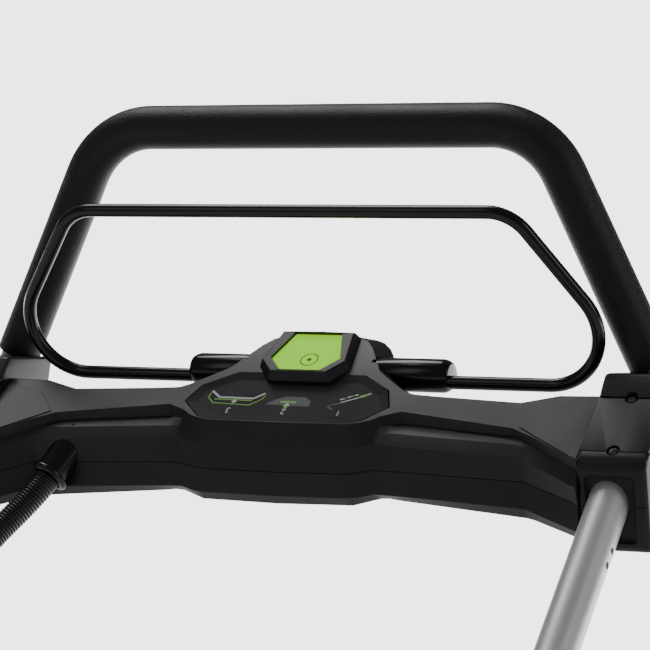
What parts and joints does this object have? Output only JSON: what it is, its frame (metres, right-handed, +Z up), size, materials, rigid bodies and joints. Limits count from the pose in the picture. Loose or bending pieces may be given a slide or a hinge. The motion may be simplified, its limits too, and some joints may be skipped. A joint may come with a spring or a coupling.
{
  "type": "push lawn mower",
  "caption": "Cordless walk-behind lawn mower with a folding telescoping handle, looped grip, pull-to-run bail and a start button on its console.",
  "frame": {"origin": "on the ground at the centre of the mower's own length and width", "axes": "+X to the right seen from the front, +Y from the deck back to the operator, +Z up"},
  "size_m": [0.6, 1.4059, 1.0561],
  "materials": {
    "loop_core": "mill finish",
    "soft_black": "soft matte grain",
    "console_black": "fine texture",
    "gloss_black": "satin gloss",
    "lime": "semi gloss",
    "silver_tube": "satin",
    "black_steel": "powder coat",
    "bright_steel": "zinc plated",
    "icon_black": "grained",
    "board_green": "solder mask",
    "switch_blue": "matte",
    "cam_white": "natural nylon",
    "conduit_black": "semi gloss, ribbed",
    "deck_paint": "satin enamel",
    "cover_black": "fine texture",
    "motor_metal": "cast",
    "tyre_rubber": "matte",
    "rim_grey": "fine texture",
    "pack_grey": "fine texture"
  },
  "bodies": {
    "deck": {"deck_shell": "deck_paint", "handle_brackets": "black_steel", "pivot_bolts": "bright_steel", "motor_can": "motor_metal", "motor_cover": "cover_black", "battery_pack": "pack_grey", "conduit_gland": "cover_black", "flap_rod": "bright_steel"},
    "lower_handle": {"lower_tube_left": "black_steel", "lower_tube_right": "black_steel", "handle_brace": "black_steel", "clamp_collars": "cover_black", "lever_pins": "bright_steel", "cable_clips": "cover_black", "conduit_lower": "conduit_black"},
    "upper_handle": {"console_upper": "console_black", "console_lower": "console_black", "icon_plate": "icon_black", "button_bezel": "gloss_black", "control_board": "board_green", "bail_switch": "switch_blue", "end_housing_left": "console_black", "end_housing_right": "console_black", "end_cover_left": "console_black", "end_cover_right": "console_black", "housing_screws": "bright_steel", "loop_tube": "loop_core", "loop_grip": "soft_black", "upper_tube_left": "silver_tube", "upper_tube_right": "silver_tube", "bail_collars": "gloss_black", "conduit_socket": "gloss_black", "button_spring": "bright_steel", "bail_spring": "bright_steel", "conduit_upper": "conduit_black"},
    "bail": {"bail_rod": "gloss_black", "bail_cam": "cam_white"},
    "start_button": {"start_button": "lime"},
    "cam_lever_left": {"cam_lever_left": "lime"},
    "cam_lever_right": {"cam_lever_right": "lime"},
    "fold_knob_left": {"fold_knob_left": "cover_black"},
    "fold_knob_right": {"fold_knob_right": "cover_black"},
    "battery_lid": {"battery_lid": "cover_black"},
    "safety_key": {"safety_key": "lime"},
    "front_axle": {"front_axle": "bright_steel"},
    "rear_axle": {"rear_axle": "bright_steel", "height_lever": "cover_black"},
    "height_link": {"height_link": "bright_steel"},
    "rear_flap": {"rear_flap": "cover_black"},
    "rotor": {"rotor_shaft": "bright_steel", "blade": "black_steel", "blade_bolt": "bright_steel"},
    "front_wheel_left": {"front_rim_left": "rim_grey", "front_tyre_left": "tyre_rubber"},
    "front_wheel_right": {"front_rim_right": "rim_grey", "front_tyre_right": "tyre_rubber"},
    "rear_wheel_left": {"rear_rim_left": "rim_grey", "rear_tyre_left": "tyre_rubber"},
    "rear_wheel_right": {"rear_rim_right": "rim_grey", "rear_tyre_right": "tyre_rubber"}
  },
  "joints": [
    {"name": "handle_fold", "type": "hinge", "parent": "deck", "child": "lower_handle", "pos_m": [0, -0.15214, 0.265], "axis": [1, 0, 0], "range_deg": [0, 110], "deforming": ["conduit_lower"]},
    {"name": "handle_telescope", "type": "slide", "parent": "lower_handle", "child": "upper_handle", "axis": [0, 0.809, 0.5878], "range_m": [-0.3, 0], "deforming": ["conduit_upper"]},
    {"name": "bail_pull", "type": "hinge", "parent": "upper_handle", "child": "bail", "pos_m": [0, 0.65452, 0.85602], "axis": [-1, 0, 0], "range_deg": [0, 16], "stiffness_Nm_per_rad": 1.2, "springref_deg": -28.65},
    {"name": "start_press", "type": "slide", "parent": "upper_handle", "child": "start_button", "axis": [0, 0.5878, -0.809], "range_m": [0, 0.003], "stiffness_N_per_m": 900, "springref_m": -0.002, "deforming": ["button_spring"]},
    {"name": "cam_lever_left_flip", "type": "hinge", "parent": "lower_handle", "child": "cam_lever_left", "pos_m": [-0.26, 0.21181, 0.56028], "axis": [-1, 0, 0], "range_deg": [0, 110]},
    {"name": "cam_lever_right_flip", "type": "hinge", "parent": "lower_handle", "child": "cam_lever_right", "pos_m": [0.26, 0.21181, 0.56028], "axis": [-1, 0, 0], "range_deg": [0, 110]},
    {"name": "fold_knob_left_turn", "type": "hinge", "parent": "deck", "child": "fold_knob_left", "pos_m": [-0.285, -0.15214, 0.265], "axis": [1, 0, 0], "continuous": true},
    {"name": "fold_knob_right_turn", "type": "hinge", "parent": "deck", "child": "fold_knob_right", "pos_m": [0.285, -0.15214, 0.265], "axis": [1, 0, 0], "continuous": true},
    {"name": "battery_lid_open", "type": "hinge", "parent": "deck", "child": "battery_lid", "pos_m": [0, -0.39614, 0.345], "axis": [1, 0, 0], "range_deg": [0, 80]},
    {"name": "safety_key_pull", "type": "slide", "parent": "deck", "child": "safety_key", "axis": [0, 0, 1], "range_m": [0, 0.012]},
    {"name": "rear_height", "type": "hinge", "parent": "deck", "child": "rear_axle", "pos_m": [0, -0.17811, 0.128], "axis": [1, 0, 0], "range_deg": [-22, 22]},
    {"name": "front_height", "type": "hinge", "parent": "deck", "child": "front_axle", "pos_m": [0, -0.65011, 0.118], "axis": [1, 0, 0], "range_deg": [-22, 22]},
    {"name": "height_link_pin", "type": "hinge", "parent": "rear_axle", "child": "height_link", "pos_m": [0.2485, -0.17811, 0.158], "axis": [1, 0, 0], "range_deg": [-22, 22]},
    {"name": "rear_flap_swing", "type": "hinge", "parent": "deck", "child": "rear_flap", "pos_m": [0, -0.08814, 0.182], "axis": [1, 0, 0], "range_deg": [0, 70], "stiffness_Nm_per_rad": 0.6, "springref_deg": -34.38},
    {"name": "rotor_spin", "type": "hinge", "parent": "deck", "child": "rotor", "pos_m": [0, -0.36214, 0.15], "axis": [0, 0, 1], "continuous": true},
    {"name": "front_wheel_left_spin", "type": "hinge", "parent": "front_axle", "child": "front_wheel_left", "pos_m": [-0.278, -0.59814, 0.1], "axis": [1, 0, 0], "continuous": true},
    {"name": "front_wheel_right_spin", "type": "hinge", "parent": "front_axle", "child": "front_wheel_right", "pos_m": [0.278, -0.59814, 0.1], "axis": [1, 0, 0], "continuous": true},
    {"name": "rear_wheel_left_spin", "type": "hinge", "parent": "rear_axle", "child": "rear_wheel_left", "pos_m": [-0.278, -0.12614, 0.11], "axis": [1, 0, 0], "continuous": true},
    {"name": "rear_wheel_right_spin", "type": "hinge", "parent": "rear_axle", "child": "rear_wheel_right", "pos_m": [0.278, -0.12614, 0.11], "axis": [1, 0, 0], "continuous": true}
  ],
  "couplings": [
    {"joint": "front_height", "follows": "rear_height", "ratio": 1},
    {"joint": "height_link_pin", "follows": "rear_height", "ratio": -1}
  ]
}
